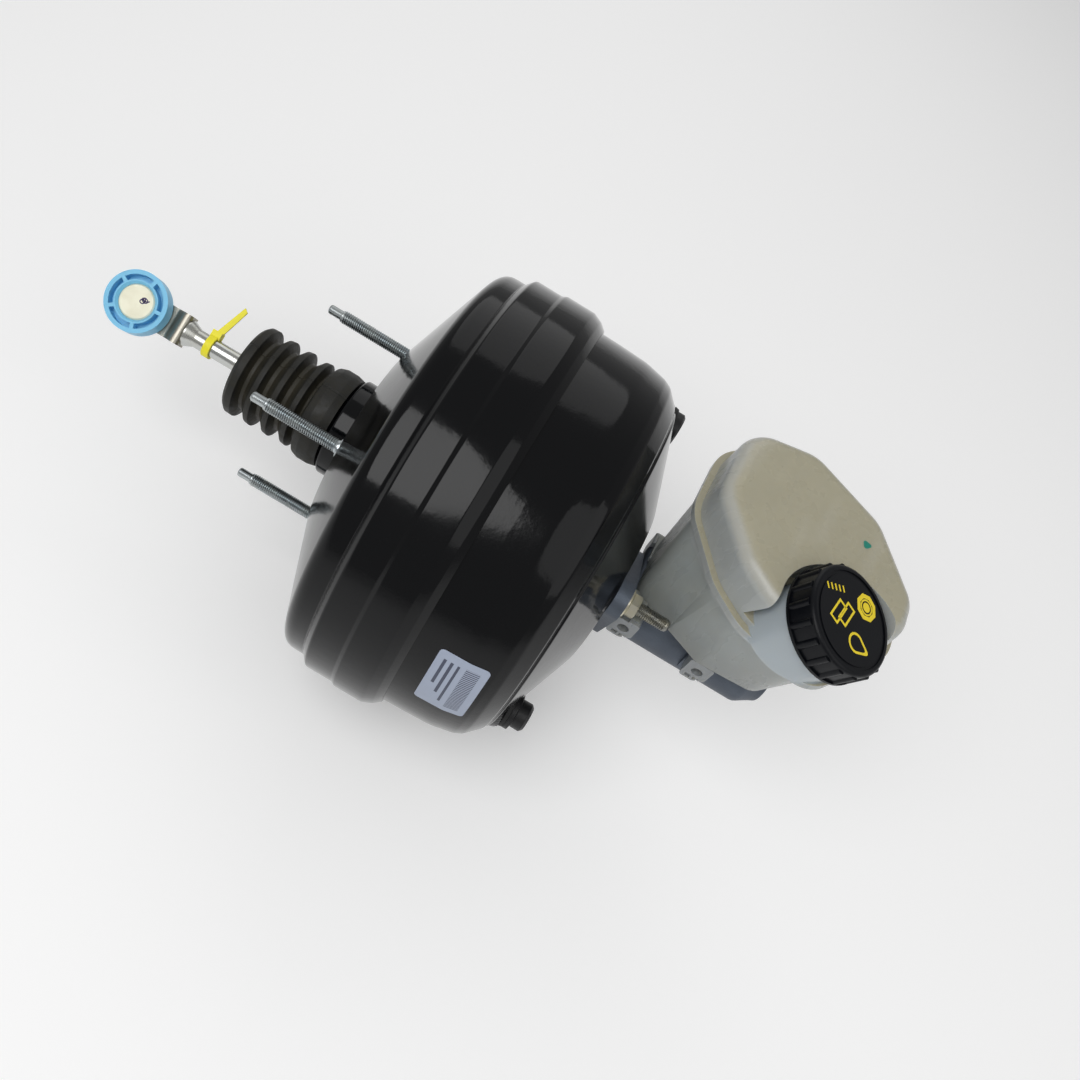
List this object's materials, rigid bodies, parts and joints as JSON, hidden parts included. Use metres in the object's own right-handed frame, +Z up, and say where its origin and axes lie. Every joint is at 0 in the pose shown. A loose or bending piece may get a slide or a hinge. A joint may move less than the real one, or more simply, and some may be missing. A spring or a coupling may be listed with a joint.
{
  "type": "brake booster",
  "caption": "Round black vacuum brake booster with push rod and boot behind, and a master cylinder with a pale fluid reservoir and screw cap in front.",
  "frame": {"origin": "centre of the four bulkhead studs, on the flat rear mounting face", "axes": "+X forward along the booster axis towards the master cylinder, +Z up to the reservoir, +Y left"},
  "size_m": [0.4708, 0.2608, 0.2625],
  "materials": {
    "shell_black": "gloss",
    "inner_steel": "zinc plated",
    "stud_steel": "zinc plated, threaded",
    "rod_steel": "polished",
    "strap_steel": "satin",
    "cast_aluminium": "cast",
    "piston_aluminium": "machined",
    "boot_rubber": "matte",
    "seal_rubber": "matte",
    "filter_foam": "foam",
    "tank_plastic": "translucent",
    "screen_plastic": "plain",
    "valve_plastic": "moulded",
    "cap_plastic": "moulded",
    "black_plastic": "moulded",
    "bush_plastic": "moulded",
    "tie_plastic": "moulded",
    "spring_steel": "drawn"
  },
  "bodies": {
    "housing": {"rear_shell": "shell_black", "front_shell": "shell_black", "centre_plate": "inner_steel", "stud_plate": "inner_steel", "bulkhead_studs": "stud_steel", "neck_bush": "valve_plastic", "neck_seal": "seal_rubber", "centre_seal": "seal_rubber", "front_seal": "seal_rubber", "master_cylinder_studs": "stud_steel", "master_cylinder_nuts": "stud_steel", "master_cylinder_body": "cast_aluminium", "piston_stop_ring": "spring_steel", "reservoir_lower": "tank_plastic", "reservoir_upper": "tank_plastic", "reservoir_grommets": "seal_rubber", "retaining_pins": "stud_steel", "filler_screen": "screen_plastic", "check_valve_grommet": "seal_rubber", "check_valve": "black_plastic", "plug_grommet": "seal_rubber", "port_plug": "black_plastic", "boot": "boot_rubber"},
    "power_piston": {"valve_body": "valve_plastic", "rear_plate": "inner_steel", "rear_diaphragm": "seal_rubber", "front_plate": "inner_steel", "front_diaphragm": "seal_rubber", "plate_retainer": "spring_steel", "return_spring": "spring_steel", "reaction_disc": "seal_rubber", "output_rod": "rod_steel", "valve_key": "spring_steel", "poppet_valve": "seal_rubber", "poppet_retainer": "inner_steel", "air_filter": "filter_foam"},
    "plunger": {"control_plunger": "piston_aluminium"},
    "push_rod": {"input_rod": "rod_steel", "eye_strap": "strap_steel", "pedal_pin": "strap_steel", "cable_tie": "tie_plastic", "pushrod_spring": "spring_steel"},
    "pedal_bush": {"bush_ring": "bush_plastic"},
    "primary_piston": {"primary_piston": "piston_aluminium", "primary_cups": "seal_rubber", "primary_spring": "spring_steel"},
    "secondary_piston": {"secondary_piston": "piston_aluminium", "secondary_cups": "seal_rubber", "secondary_spring": "spring_steel"},
    "cap_gasket": {"cap_gasket": "seal_rubber"},
    "filler_cap": {"filler_cap": "cap_plastic"}
  },
  "joints": [
    {"name": "power_slide", "type": "slide", "parent": "housing", "child": "power_piston", "axis": [1, 0, 0], "range_m": [0, 0.032], "stiffness_N_per_m": 1500, "springref_m": -0.03, "deforming": ["boot", "rear_diaphragm", "front_diaphragm", "return_spring"]},
    {"name": "plunger_slide", "type": "slide", "parent": "power_piston", "child": "plunger", "axis": [1, 0, 0], "range_m": [0, 0.0015], "stiffness_N_per_m": 3000, "springref_m": -0.004, "deforming": ["pushrod_spring"]},
    {"name": "rod_tilt", "type": "hinge", "parent": "plunger", "child": "push_rod", "pos_m": [0.025, 0, 0], "axis": [0, 1, 0], "range_deg": [-3, 3], "stiffness_Nm_per_rad": 30},
    {"name": "bush_turn", "type": "hinge", "parent": "push_rod", "child": "pedal_bush", "pos_m": [-0.1505, 0, 0], "axis": [0, -0.5736, 0.8192], "continuous": true},
    {"name": "primary_slide", "type": "slide", "parent": "housing", "child": "primary_piston", "axis": [1, 0, 0], "range_m": [0, 0.032], "deforming": ["primary_spring"]},
    {"name": "secondary_slide", "type": "slide", "parent": "housing", "child": "secondary_piston", "axis": [1, 0, 0], "range_m": [0, 0.0145], "deforming": ["secondary_spring"]},
    {"name": "cap_lift", "type": "slide", "parent": "housing", "child": "cap_gasket", "axis": [0.342, 0, 0.9397], "range_m": [0, 0.0076]},
    {"name": "cap_turn", "type": "hinge", "parent": "cap_gasket", "child": "filler_cap", "pos_m": [0.2585, -0.03, 0.108], "axis": [0.342, 0, 0.9397], "range_deg": [0, 540]}
  ],
  "couplings": [
    {"joint": "primary_slide", "follows": "power_slide", "ratio": 1},
    {"joint": "secondary_slide", "follows": "power_slide", "ratio": 0.45},
    {"joint": "cap_lift", "follows": "cap_turn", "m_per_rad": 0.00079577}
  ]
}
